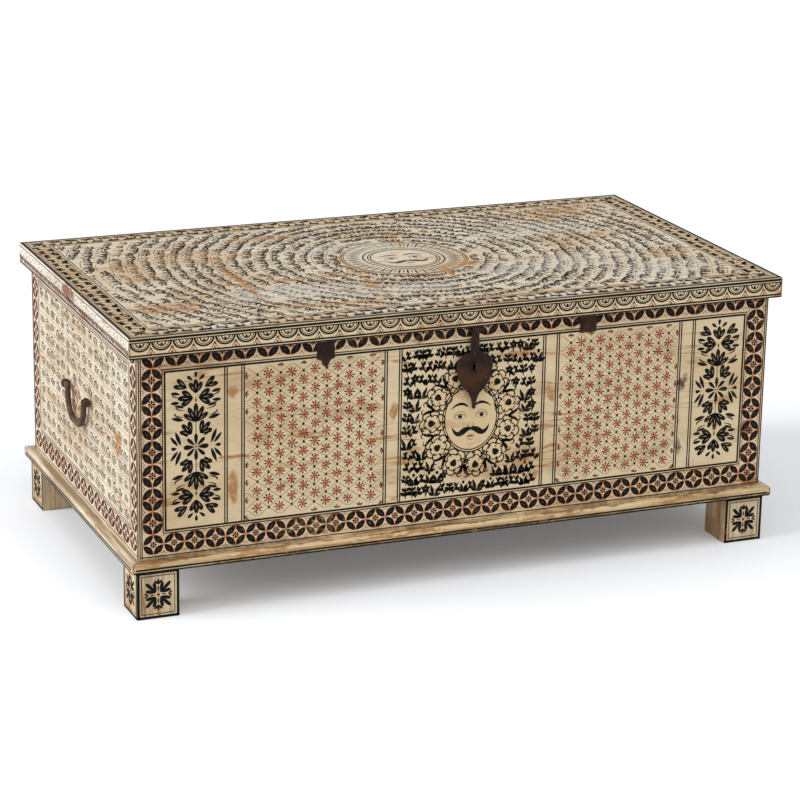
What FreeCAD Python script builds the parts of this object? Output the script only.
import FreeCAD, Part
import math
import os

os.makedirs("parts", exist_ok=True)
Vector = FreeCAD.Vector

# Painted trunk used as a low table. Millimetres, +Z up, front towards -Y.
# The origin is on the floor, under the middle of the trunk.

# Lid
table_height = 490.0
lid_length = 1200.0
lid_width = 664.0
lid_height = 36.0
lid_plank_thickness = 18.0
lid_plank_count = 3
front_rail_thickness = 10.0
end_rail_thickness = 15.0
lid_edge_radius = 3.0
rim_clearance = 1.5
batten_width = 60.0
batten_thickness = 16.0
batten_spacing_share = 0.5
batten_end_gap = 8.0

# Box
wall_thickness = 20.0
corner_rebate = 10.0
floor_thickness = 12.0
floor_plank_count = 3
floor_gap = 0.4
bearer_width = 60.0
worn_edge_radius = 1.2
corner_peg_radius = 4.0
corner_peg_depth = 36.0
corner_peg_cover = 3.0
corner_peg_height_shares = (0.14, 0.5, 0.86)

# Plinth and feet
plinth_thickness = 18.0
plinth_projection = 16.0
plinth_ledge = 20.0
plinth_nose_radius = 5.0
foot_height = 84.0
foot_size = 74.0
foot_projection = 6.0
tenon_size = 24.0
tenon_height = 14.0
tenon_clearance = 0.2

# Nails
nail_head_radius = 4.0
nail_head_height = 1.6
nail_shank_radius = 1.4
nail_hole_clearance = 0.05
wall_nail_depth_share = 0.75
rail_nail_depth_share = 0.75
batten_nail_depth_share = 0.6
batten_nail_head_radius = 3.5
batten_nail_head_thickness = 1.2

# Rear hinges
hinge_spread_share = 2 / 3
hinge_plate_thickness = 3.0
hinge_knuckle_radius = 6.0
hinge_knuckle_width = 16.0
hinge_knuckle_gap = 0.5
hinge_pin_radius = 2.5
hinge_pin_clearance = 0.05
hinge_pin_head_radius = 4.5
hinge_pin_head_thickness = 2.5
hinge_strap_length = 112.0
hinge_strap_point = 26.0
hinge_bridge_gap = 1.0
hinge_leaf_width = 76.0
hinge_leaf_margin = 5.0
hinge_strap_nail_shares = (0.14, 0.42, 0.7)
hinge_leaf_nail_share = 0.34

# Hasp, its hanger on the lid and the staple on the front board
hasp_x = 13.0
hasp_thickness = 3.0
hasp_eye_wall = 3.8
hasp_eye_width = 14.0
hasp_eye_gap = 1.0
hasp_neck_top_width = 11.6
hasp_neck_width = 17.0
hasp_neck_length = 39.0
hasp_heart_width = 65.0
hasp_heart_depth = 72.0
hasp_length = 139.0
hasp_tail_width = 19.0
hasp_tip_radius = 3.0
hasp_widest_share = 0.4
hasp_lobe_shares = (0.8, 0.12)
hasp_flank_shares = (0.58, 0.66)
hasp_tail_shares = (0.3, 0.42)
hasp_slot_drop = 65.5
hasp_slot_clearance = 1.7
hanger_wire_radius = 2.5
hanger_clearance = 0.3
hanger_half_width = 12.0
hanger_bend_radius = 3.4
hanger_depth_share = 0.6
staple_wire_radius = 2.0
staple_loop_radius = 7.0
staple_reach = 11.5
staple_depth_share = 0.8

# Iron plates nailed to the front board under the lid
front_plate_thickness = 1.5
front_plate_width = 31.0
front_plate_tuck = 13.0
front_plate_band_height = 4.0
front_plate_band_rise = 0.8
front_plate_band_shares = (0.53, 0.66)
front_plate_shoulder_share = 0.71
front_plate_neck_shares = (0.44, 0.3)
front_plate_hollow_share = 0.3
front_plate_belly_share = 0.74
front_plate_nail_shares = (0.26, 0.8)
front_plate_nail_radius = 2.4
front_plate_nail_rise = 1.1
left_plate_share = -0.2125
left_plate_drop = 48.5
right_plate_share = 0.19
right_plate_drop = 33.0

# Drop handles on the ends
handle_height = 298.0
handle_y = 12.0
handle_rod_radius = 5.0
handle_leg_spread = 100.0
handle_foot_spread = 88.0
handle_drop = 52.0
handle_top_bend_radius = 6.0
handle_foot_bend_radius = 36.0
handle_journal_length = 19.0
handle_button_radius = 6.3
handle_button_length = 3.0
handle_eye_wire_radius = 1.5
handle_eye_clearance = 0.3
handle_eye_gap = 0.7
handle_eye_depth_share = 0.8

# One overrun serves every cut that has to pass a face.
overrun = 5.0

# Places worked out from the sizes above
rim_gap = front_plate_thickness + rim_clearance
lid_x = lid_length / 2
lid_y = lid_width / 2
box_x = lid_x - end_rail_thickness - rim_gap
box_y = lid_y - front_rail_thickness - rim_gap
rim_bottom = table_height - lid_height
box_top = table_height - lid_plank_thickness
plinth_top = foot_height + plinth_thickness
plinth_x = box_x + plinth_projection
plinth_y = box_y + plinth_projection
plinth_width = plinth_projection + wall_thickness + plinth_ledge
inner_x = box_x - wall_thickness
inner_y = box_y - wall_thickness
foot_x = box_x + foot_projection - foot_size / 2
foot_y = box_y + foot_projection - foot_size / 2
tenon_x = plinth_x - plinth_width / 2
tenon_y = plinth_y - plinth_width / 2
batten_x = batten_spacing_share * lid_length / 2
hinge_x = hinge_spread_share * lid_length / 2
left_plate_x = left_plate_share * lid_length
right_plate_x = right_plate_share * lid_length

parts = {}


def block(x0, x1, y0, y1, z0, z1):
    """Box between two corners."""
    return Part.makeBox(x1 - x0, y1 - y0, z1 - z0, Vector(x0, y0, z0))


def rod(start, direction, radius, length):
    return Part.makeCylinder(radius, length, start, direction)


def prism(points, z0, z1):
    """Upright prism on a polygon of (x, y) points."""
    corners = [Vector(x, y, z0) for x, y in points]
    face = Part.Face(Part.makePolygon(corners + corners[:1]))
    return face.extrude(Vector(0, 0, z1 - z0))


def outer_edges(shape, direction, reach, heights):
    """Edges that lie furthest out along a direction, at the given heights."""
    found = []
    for edge in shape.Edges:
        ends = [vertex.Point for vertex in edge.Vertexes]
        far = all(abs(point.dot(direction) - reach) < worn_edge_radius for point in ends)
        level = any(all(abs(point.z - z) < worn_edge_radius for point in ends) for z in heights)
        if far and level:
            found.append(edge)
    return found


def upright_edges(shape):
    return [edge for edge in shape.Edges if abs(edge.tangentAt(edge.FirstParameter).z) > 0.99]


def bent_rod(points, bend_radii, radius):
    """Round rod along straight runs, with an arc at each inner point."""
    edges = []
    start = points[0]
    for before, corner, after, bend in zip(points, points[1:], points[2:], bend_radii):
        arrive = (corner - before).normalize()
        leave = (after - corner).normalize()
        turn = arrive.getAngle(leave)
        setback = bend * math.tan(turn / 2)
        first = corner - arrive * setback
        last = corner + leave * setback
        inward = (leave - arrive).normalize()
        middle = corner + inward * (bend / math.cos(turn / 2) - bend)
        edges.append(Part.LineSegment(start, first).toShape())
        edges.append(Part.Arc(first, middle, last).toShape())
        start = last
    edges.append(Part.LineSegment(start, points[-1]).toShape())
    section = Part.Wire(Part.makeCircle(radius, points[0], points[1] - points[0]))
    return Part.Wire(edges).makePipeShell([section], True, False)


def nail(point, direction, head_radius, head_height, shank_length):
    """Domed nail whose head stands out from a point along a direction."""
    sphere_radius = (head_radius ** 2 + head_height ** 2) / (2 * head_height)
    centre = point - direction * (sphere_radius - head_height)
    ball = Part.makeSphere(sphere_radius, centre)
    head = ball.common(rod(point, direction, head_radius + overrun, head_height + overrun))
    return head.fuse(rod(point, -direction, nail_shank_radius, shank_length)).removeSplitter()


def nail_hole(point, direction, depth):
    return rod(point, -direction, nail_shank_radius + nail_hole_clearance, depth)


# Box: front and back boards rebated at their ends to take the end boards
peg_x = box_x - wall_thickness / 2
peg_heights = [plinth_top + share * (box_top - plinth_top) for share in corner_peg_height_shares]
peg_y = box_y - corner_peg_cover
peg_length = wall_thickness - corner_rebate - corner_peg_cover + corner_peg_depth
peg_places = [Vector(sx * peg_x, sy * peg_y, z) for sx in (-1, 1) for sy in (-1, 1) for z in peg_heights]


def peg(place, radius):
    inward = Vector(0, -math.copysign(1, place.y), 0)
    return rod(place, inward, radius, peg_length)


peg_holes = [peg(place, corner_peg_radius + nail_hole_clearance) for place in peg_places]
parts["corner_pegs"] = Part.makeCompound([peg(place, corner_peg_radius) for place in peg_places])


def long_board(side):
    """Front (-1) or back (+1) board."""
    outer, inner = side * box_y, side * inner_y
    board = block(-box_x, box_x, min(outer, inner), max(outer, inner), plinth_top, box_top)
    corners = [e for e in upright_edges(board) if abs(e.Vertexes[0].Y - outer) < worn_edge_radius]
    board = board.makeFillet(worn_edge_radius, corners)
    rebate = inner + side * corner_rebate
    for end in (-1, 1):
        far = end * (box_x + overrun)
        near = end * inner_x
        low_y, high_y = sorted((rebate, inner - side * overrun))
        board = board.cut(block(min(far, near), max(far, near), low_y, high_y, plinth_top, box_top))
    return board.cut(peg_holes)


def end_board(side):
    """Left (-1) or right (+1) board, housed between the long boards."""
    reach = inner_y + corner_rebate
    outer, inner = side * box_x, side * inner_x
    board = block(min(outer, inner), max(outer, inner), -reach, reach, plinth_top, box_top)
    return board.cut(peg_holes)


front_board = long_board(-1)
back_board = long_board(1)
end_boards = {"left": end_board(-1), "right": end_board(1)}

# Floor planks on the plinth's ledge, with a bearer under their middle
plank_pitch = 2 * (inner_y - floor_gap) / floor_plank_count
for index in range(floor_plank_count):
    low = -inner_y + floor_gap + index * plank_pitch
    floor_end = inner_x - floor_gap
    parts["floor_plank_%d" % (index + 1)] = block(
        -floor_end, floor_end, low, low + plank_pitch, plinth_top, plinth_top + floor_thickness)
bearer_reach = plinth_y - plinth_width
parts["floor_bearer"] = block(
    -bearer_width / 2, bearer_width / 2, -bearer_reach, bearer_reach, foot_height, plinth_top)

# Feet with tenons that go up into the mitred plinth
foot_places = {
    "front_left": (-1, -1),
    "front_right": (1, -1),
    "back_left": (-1, 1),
    "back_right": (1, 1),
}


def square_post(x, y, size, z0, z1):
    return block(x - size / 2, x + size / 2, y - size / 2, y + size / 2, z0, z1)


tenon_holes = []
for name, (sx, sy) in foot_places.items():
    post = square_post(sx * foot_x, sy * foot_y, foot_size, 0, foot_height)
    post = post.makeFillet(worn_edge_radius, upright_edges(post))
    tenon = square_post(sx * tenon_x, sy * tenon_y, tenon_size, foot_height, foot_height + tenon_height)
    parts["foot_" + name] = post.fuse(tenon).removeSplitter()
    tenon_holes.append(square_post(
        sx * tenon_x, sy * tenon_y, tenon_size + 2 * tenon_clearance,
        foot_height, foot_height + tenon_height + tenon_clearance))


def mitred_rail(along_x, side, half_x, half_y, width_x, width_y, z0, z1):
    """One rail of a four-sided frame, cut at its corners from outer to inner corner."""
    inside_x, inside_y = half_x - width_x, half_y - width_y
    if along_x:
        points = [(-half_x, side * half_y), (half_x, side * half_y),
                  (inside_x, side * inside_y), (-inside_x, side * inside_y)]
    else:
        points = [(side * half_x, -half_y), (side * half_x, half_y),
                  (side * inside_x, inside_y), (side * inside_x, -inside_y)]
    return prism(points, z0, z1)


frame_sides = {"front": (True, -1), "back": (True, 1), "left": (False, -1), "right": (False, 1)}
for name, (along_x, side) in frame_sides.items():
    rail = mitred_rail(along_x, side, plinth_x, plinth_y, plinth_width, plinth_width, foot_height, plinth_top)
    direction = Vector(0, side, 0) if along_x else Vector(side, 0, 0)
    reach = plinth_y if along_x else plinth_x
    nose = outer_edges(rail, direction, reach, (foot_height, plinth_top))
    parts["plinth_" + name] = rail.makeFillet(plinth_nose_radius, nose).cut(tenon_holes)

# Lid: a mitred rim round three planks, with two battens below
lid_rails = {}
for name, (along_x, side) in frame_sides.items():
    rail = mitred_rail(along_x, side, lid_x, lid_y, end_rail_thickness, front_rail_thickness,
                       rim_bottom, table_height)
    direction = Vector(0, side, 0) if along_x else Vector(side, 0, 0)
    reach = lid_y if along_x else lid_x
    lid_rails[name] = rail.makeFillet(lid_edge_radius, outer_edges(rail, direction, reach, (table_height,)))

plank_x = lid_x - end_rail_thickness
plank_y = lid_y - front_rail_thickness
lid_pitch = 2 * plank_y / lid_plank_count
lid_plank_lows = [-plank_y + index * lid_pitch for index in range(lid_plank_count)]
batten_reach = inner_y - batten_end_gap
batten_bottom = box_top - batten_thickness
batten_nail_length = batten_thickness + batten_nail_depth_share * lid_plank_thickness
batten_nail_places = [
    Vector(side * batten_x + end * batten_width / 4, low + lid_pitch / 2, batten_bottom)
    for side in (-1, 1) for low in lid_plank_lows for end in (-1, 1)]


def batten_nail(place, clearance):
    up = Vector(0, 0, 1)
    head = rod(place, up, batten_nail_head_radius + clearance, batten_nail_head_thickness)
    return head.fuse(rod(place, up, nail_shank_radius + clearance, batten_nail_length)).removeSplitter()


batten_nail_holes = [batten_nail(place, nail_hole_clearance) for place in batten_nail_places]
parts["batten_nails"] = Part.makeCompound([batten_nail(place, 0) for place in batten_nail_places])
for index, low in enumerate(lid_plank_lows):
    plank = block(-plank_x, plank_x, low, low + lid_pitch, box_top, table_height)
    parts["lid_plank_%d" % (index + 1)] = plank.cut(batten_nail_holes)
for name, side in (("left", -1), ("right", 1)):
    middle = side * batten_x
    batten = block(middle - batten_width / 2, middle + batten_width / 2,
                   -batten_reach, batten_reach, batten_bottom, box_top)
    parts["lid_batten_" + name] = batten.cut(batten_nail_holes)

# Rear hinges: a cranked strap on the box, a leaf on the lid's rear rail and a pin
hinge_y = lid_y + hinge_knuckle_radius + hinge_knuckle_gap
hinge_z = rim_bottom
hinge_width = 3 * hinge_knuckle_width + 2 * hinge_knuckle_gap
bridge_top = rim_bottom - hinge_bridge_gap
leaf_bottom = hinge_z + hinge_knuckle_radius + hinge_knuckle_gap
leaf_top = table_height - hinge_leaf_margin
outward = Vector(0, 1, 0)
along = Vector(1, 0, 0)
strap_nails = []
strap_nail_holes = []
leaf_nails = []
leaf_nail_holes = []


def knuckle(x, width):
    return rod(Vector(x - width / 2, hinge_y, hinge_z), along, hinge_knuckle_radius, width)


def hinge_strap(x):
    half = hinge_width / 2
    plate_face = box_y + hinge_plate_thickness
    bottom = bridge_top - hinge_strap_length
    outline = [(x - half, bridge_top), (x + half, bridge_top), (x + half, bottom + hinge_strap_point),
               (x, bottom), (x - half, bottom + hinge_strap_point)]
    corners = [Vector(px, box_y, pz) for px, pz in outline]
    plate = Part.Face(Part.makePolygon(corners + corners[:1])).extrude(outward * hinge_plate_thickness)
    bridge = block(x - half, x + half, box_y, hinge_y, bridge_top - hinge_plate_thickness, bridge_top)
    notch = hinge_knuckle_width / 2 + hinge_knuckle_gap
    bridge = bridge.cut(block(x - notch, x + notch, lid_y - hinge_knuckle_gap, hinge_y + overrun,
                              bridge_top - hinge_plate_thickness - overrun, bridge_top + overrun))
    strap = plate.fuse(bridge)
    for side in (-1, 1):
        strap = strap.fuse(knuckle(x + side * (hinge_knuckle_width + hinge_knuckle_gap), hinge_knuckle_width))
    for share in hinge_strap_nail_shares:
        point = Vector(x, plate_face, bridge_top - hinge_plate_thickness - share * hinge_strap_length)
        depth = hinge_plate_thickness + wall_nail_depth_share * wall_thickness
        strap_nails.append(nail(point, outward, nail_head_radius, nail_head_height, depth))
        strap_nail_holes.append(nail_hole(point, outward, depth))
    hole = rod(Vector(x - hinge_width, hinge_y, hinge_z), along,
               hinge_pin_radius + hinge_pin_clearance, 2 * hinge_width)
    return strap.removeSplitter().cut(hole).cut(strap_nail_holes)


def hinge_leaf(x):
    plate_face = lid_y + hinge_plate_thickness
    plate = block(x - hinge_leaf_width / 2, x + hinge_leaf_width / 2,
                  lid_y, plate_face, leaf_bottom, leaf_top)
    tongue = block(x - hinge_knuckle_width / 2, x + hinge_knuckle_width / 2,
                   lid_y, plate_face, hinge_z, leaf_bottom)
    leaf = plate.fuse(tongue).fuse(knuckle(x, hinge_knuckle_width))
    for side in (-1, 1):
        point = Vector(x + side * hinge_leaf_nail_share * hinge_leaf_width, plate_face,
                       (leaf_bottom + leaf_top) / 2)
        depth = hinge_plate_thickness + rail_nail_depth_share * front_rail_thickness
        leaf_nails.append(nail(point, outward, nail_head_radius, nail_head_height, depth))
        leaf_nail_holes.append(nail_hole(point, outward, depth))
    hole = rod(Vector(x - hinge_width, hinge_y, hinge_z), along,
               hinge_pin_radius + hinge_pin_clearance, 2 * hinge_width)
    return leaf.removeSplitter().cut(hole).cut(leaf_nail_holes)


def hinge_pin(x):
    half = hinge_width / 2 + hinge_knuckle_gap
    pin = rod(Vector(x - half, hinge_y, hinge_z), along, hinge_pin_radius, 2 * half)
    for start in (x - half - hinge_pin_head_thickness, x + half):
        head = rod(Vector(start, hinge_y, hinge_z), along, hinge_pin_head_radius, hinge_pin_head_thickness)
        pin = pin.fuse(head)
    return pin.removeSplitter()


for name, side in (("left", -1), ("right", 1)):
    parts["hinge_strap_" + name] = hinge_strap(side * hinge_x)
    parts["hinge_leaf_" + name] = hinge_leaf(side * hinge_x)
    parts["hinge_pin_" + name] = hinge_pin(side * hinge_x)
parts["hinge_strap_nails"] = Part.makeCompound(strap_nails)
parts["hinge_leaf_nails"] = Part.makeCompound(leaf_nails)
parts["back_board"] = back_board.cut(strap_nail_holes)
parts["lid_rail_back"] = lid_rails["back"].cut(leaf_nail_holes)
parts["lid_rail_left"] = lid_rails["left"]
parts["lid_rail_right"] = lid_rails["right"]

# Hasp: a heart-shaped iron plate on a rolled eye, hung below the lid's front rail
eye_bore = hanger_wire_radius + hanger_clearance
eye_radius = eye_bore + hasp_eye_wall
hasp_y = -(lid_y - front_rail_thickness / 2)
hasp_z = rim_bottom - hasp_eye_gap - eye_radius
slot_z = hasp_z - hasp_slot_drop
slot_width = 2 * (staple_wire_radius + hasp_slot_clearance)
slot_length = 2 * (staple_loop_radius + staple_wire_radius + hasp_slot_clearance)


def hasp_side():
    """Right half of the hasp's outline from the eye's centre to the tip, as (x, z) edges."""
    neck = hasp_neck_width / 2
    heart = hasp_heart_width / 2
    tail = hasp_tail_width / 2
    shoulder = -hasp_neck_length
    widest = shoulder - hasp_widest_share * hasp_heart_depth
    foot = shoulder - hasp_heart_depth
    tip = hasp_tip_radius - hasp_length
    lobe_x, lobe_z = hasp_lobe_shares
    flank_x, flank_z = hasp_flank_shares
    lobe = (neck + lobe_x * (heart - neck), shoulder - lobe_z * hasp_heart_depth)
    tail_x, tail_z = hasp_tail_shares
    flank = (tail + flank_x * (heart - tail), widest + flank_z * (foot - widest))
    waist = (hasp_tip_radius + tail_x * (tail - hasp_tip_radius), foot + tail_z * (tip - foot))
    return [
        ("line", (hasp_neck_top_width / 2, 0), (neck, shoulder)),
        ("arc", (neck, shoulder), lobe, (heart, widest)),
        ("arc", (heart, widest), flank, (tail, foot)),
        ("arc", (tail, foot), waist, (hasp_tip_radius, tip)),
    ]


def hasp_outline(mirror):
    edges = []
    for kind, *points in hasp_side():
        places = [Vector(hasp_x + mirror * x, hasp_y - hasp_thickness / 2, hasp_z + z) for x, z in points]
        shape = Part.LineSegment(*places) if kind == "line" else Part.Arc(*places)
        edges.append(shape.toShape())
    return edges


def hasp():
    back = hasp_y - hasp_thickness / 2
    half_neck = hasp_neck_top_width / 2
    tip_z = hasp_z + hasp_tip_radius - hasp_length
    top = Part.LineSegment(Vector(hasp_x - half_neck, back, hasp_z), Vector(hasp_x + half_neck, back, hasp_z))
    tip = Part.Arc(Vector(hasp_x - hasp_tip_radius, back, tip_z),
                   Vector(hasp_x, back, tip_z - hasp_tip_radius),
                   Vector(hasp_x + hasp_tip_radius, back, tip_z))
    edges = [top.toShape(), tip.toShape()]
    for mirror in (-1, 1):
        edges += hasp_outline(mirror)
    wire = Part.Wire(Part.__sortEdges__(edges))
    plate = Part.Face(wire).extrude(Vector(0, hasp_thickness, 0))
    eye = rod(Vector(hasp_x - hasp_eye_width / 2, hasp_y, hasp_z), along, eye_radius, hasp_eye_width)
    half_slot = slot_width / 2
    low, high = slot_z - slot_length / 2 + half_slot, slot_z + slot_length / 2 - half_slot
    cut_start, cut_depth = back - overrun, hasp_thickness + 2 * overrun
    slot = block(hasp_x - half_slot, hasp_x + half_slot, cut_start, cut_start + cut_depth, low, high)
    for z in (low, high):
        slot = slot.fuse(rod(Vector(hasp_x, cut_start, z), outward, half_slot, cut_depth))
    bore = rod(Vector(hasp_x - hasp_neck_width, hasp_y, hasp_z), along, eye_bore, 2 * hasp_neck_width)
    return plate.fuse(eye).removeSplitter().cut(slot).cut(bore)


def hasp_hanger(radius):
    """Wire staple under the front rail whose bar carries the hasp's eye."""
    leg_top = rim_bottom + hanger_depth_share * lid_height
    left, right = hasp_x - hanger_half_width, hasp_x + hanger_half_width
    points = [Vector(left, hasp_y, leg_top), Vector(left, hasp_y, hasp_z),
              Vector(right, hasp_y, hasp_z), Vector(right, hasp_y, leg_top)]
    return bent_rod(points, [hanger_bend_radius] * 2, radius)


parts["hasp"] = hasp()
parts["hasp_hanger"] = hasp_hanger(hanger_wire_radius)
hanger_hole = hasp_hanger(hanger_wire_radius + nail_hole_clearance)
parts["lid_rail_front"] = lid_rails["front"].cut(hanger_hole)


def lock_staple(radius):
    """Wire loop on the front board that stands out through the hasp's slot."""
    root = -box_y + staple_depth_share * wall_thickness
    bend = hasp_y - staple_reach + staple_loop_radius
    high, low = slot_z + staple_loop_radius, slot_z - staple_loop_radius
    edges = [
        Part.LineSegment(Vector(hasp_x, root, high), Vector(hasp_x, bend, high)).toShape(),
        Part.Arc(Vector(hasp_x, bend, high), Vector(hasp_x, bend - staple_loop_radius, slot_z),
                 Vector(hasp_x, bend, low)).toShape(),
        Part.LineSegment(Vector(hasp_x, bend, low), Vector(hasp_x, root, low)).toShape(),
    ]
    section = Part.Wire(Part.makeCircle(radius, Vector(hasp_x, root, high), outward))
    return Part.Wire(edges).makePipeShell([section], True, False)


parts["lock_staple"] = lock_staple(staple_wire_radius)
front_board = front_board.cut(lock_staple(staple_wire_radius + nail_hole_clearance))

# Iron plates on the front board: a square head with two raised bands, the left one with a cusped point below
front_face = -box_y
forward = Vector(0, -1, 0)
plate_nails = []
plate_nail_holes = []


def cusped_point(x, shoulder, low):
    """Point under a plate: a hollow on each side, then a rounded tongue."""
    half = front_plate_width / 2
    neck_share, neck_drop_share = front_plate_neck_shares
    neck = neck_share * half
    neck_z = shoulder - neck_drop_share * (shoulder - low)
    hollow = neck + front_plate_hollow_share * (half - neck)
    hollow_z = shoulder - front_plate_hollow_share * (shoulder - neck_z)
    belly = front_plate_belly_share * neck
    belly_z = (neck_z + low) / 2

    def at(across, z):
        return Vector(x + across, front_face, z)

    edges = [
        Part.LineSegment(at(-half, shoulder), at(half, shoulder)).toShape(),
        Part.Arc(at(half, shoulder), at(hollow, hollow_z), at(neck, neck_z)).toShape(),
        Part.Arc(at(neck, neck_z), at(belly, belly_z), at(0, low)).toShape(),
        Part.Arc(at(0, low), at(-belly, belly_z), at(-neck, neck_z)).toShape(),
        Part.Arc(at(-neck, neck_z), at(-hollow, hollow_z), at(-half, shoulder)).toShape(),
    ]
    return Part.Face(Part.Wire(edges)).extrude(forward * front_plate_thickness)


def front_plate(x, drop, pointed):
    half = front_plate_width / 2
    top = rim_bottom + front_plate_tuck
    low = rim_bottom - drop
    shoulder = rim_bottom - front_plate_shoulder_share * drop if pointed else low
    face = front_face - front_plate_thickness
    plate = block(x - half, x + half, face, front_face, shoulder, top)
    if pointed:
        plate = plate.fuse(cusped_point(x, shoulder, low))
    for share in front_plate_band_shares:
        middle = rim_bottom - share * drop
        plate = plate.fuse(block(x - half, x + half, face - front_plate_band_rise, front_face,
                                 middle - front_plate_band_height / 2, middle + front_plate_band_height / 2))
    for share in front_plate_nail_shares:
        point = Vector(x, face, rim_bottom - share * drop)
        depth = front_plate_thickness + wall_nail_depth_share * wall_thickness
        plate_nails.append(nail(point, forward, front_plate_nail_radius, front_plate_nail_rise, depth))
        plate_nail_holes.append(nail_hole(point, forward, depth))
    return plate.removeSplitter().cut(plate_nail_holes)


parts["front_plate_left"] = front_plate(left_plate_x, left_plate_drop, True)
parts["front_plate_right"] = front_plate(right_plate_x, right_plate_drop, False)
parts["front_plate_nails"] = Part.makeCompound(plate_nails)
parts["front_board"] = front_board.cut(plate_nail_holes)

# Drop handles: a bent rod whose ends turn in two eyes driven into the end board
eye_ring_radius = handle_rod_radius + handle_eye_clearance + handle_eye_wire_radius
handle_stand_off = eye_ring_radius + handle_eye_wire_radius + handle_eye_gap
leg_y = handle_leg_spread / 2
journal_y = leg_y + handle_journal_length
eye_y = (leg_y + handle_top_bend_radius + journal_y - handle_button_length) / 2


def handle_eye(x, side, y, clearance):
    """Ring round the handle's end with a shank driven into the end board."""
    centre = Vector(x, y, handle_height)
    ring = Part.makeTorus(eye_ring_radius, handle_eye_wire_radius + clearance, centre, outward)
    inward = Vector(-side, 0, 0)
    shank_start = centre + inward * eye_ring_radius
    shank_length = handle_stand_off - eye_ring_radius + handle_eye_depth_share * wall_thickness
    shank = rod(shank_start, inward, handle_eye_wire_radius + clearance, shank_length)
    return ring.fuse(shank).removeSplitter()


def drop_handle(x):
    half_foot = handle_foot_spread / 2
    low = handle_height - handle_drop
    profile = [(-journal_y, handle_height), (-leg_y, handle_height), (-half_foot, low),
               (half_foot, low), (leg_y, handle_height), (journal_y, handle_height)]
    points = [Vector(x, handle_y + y, z) for y, z in profile]
    bends = [handle_top_bend_radius, handle_foot_bend_radius, handle_foot_bend_radius, handle_top_bend_radius]
    handle = bent_rod(points, bends, handle_rod_radius)
    for side in (-1, 1):
        end = Vector(x, handle_y + side * journal_y, handle_height)
        handle = handle.fuse(rod(end, Vector(0, -side, 0), handle_button_radius, handle_button_length))
    return handle.removeSplitter()


for name, side in (("left", -1), ("right", 1)):
    handle_x = side * (box_x + handle_stand_off)
    eye_places = [handle_y - eye_y, handle_y + eye_y]
    eyes = [handle_eye(handle_x, side, y, 0) for y in eye_places]
    eye_holes = [handle_eye(handle_x, side, y, nail_hole_clearance) for y in eye_places]
    parts["handle_" + name] = drop_handle(handle_x)
    parts["handle_eyes_" + name] = Part.makeCompound(eyes)
    parts["end_board_" + name] = end_boards[name].cut(eye_holes)

for name, shape in parts.items():
    if not shape.isValid():
        print("not valid:", name)
    shape.exportStep("parts/" + name + ".step")
print(len(parts), "nodes,", sum(len(shape.Solids) for shape in parts.values()), "solids")
print("rim bottom", rim_bottom, "box top", box_top, "box half", box_x, box_y, "inner", inner_x, inner_y)
print("hinge axis", hinge_y, hinge_z, "hasp axis", hasp_x, hasp_y, hasp_z)
print("hasp slot", slot_z, slot_width, slot_length)
print("handle axis", box_x + handle_stand_off, handle_height, "eyes at", eye_y, "journal", journal_y)
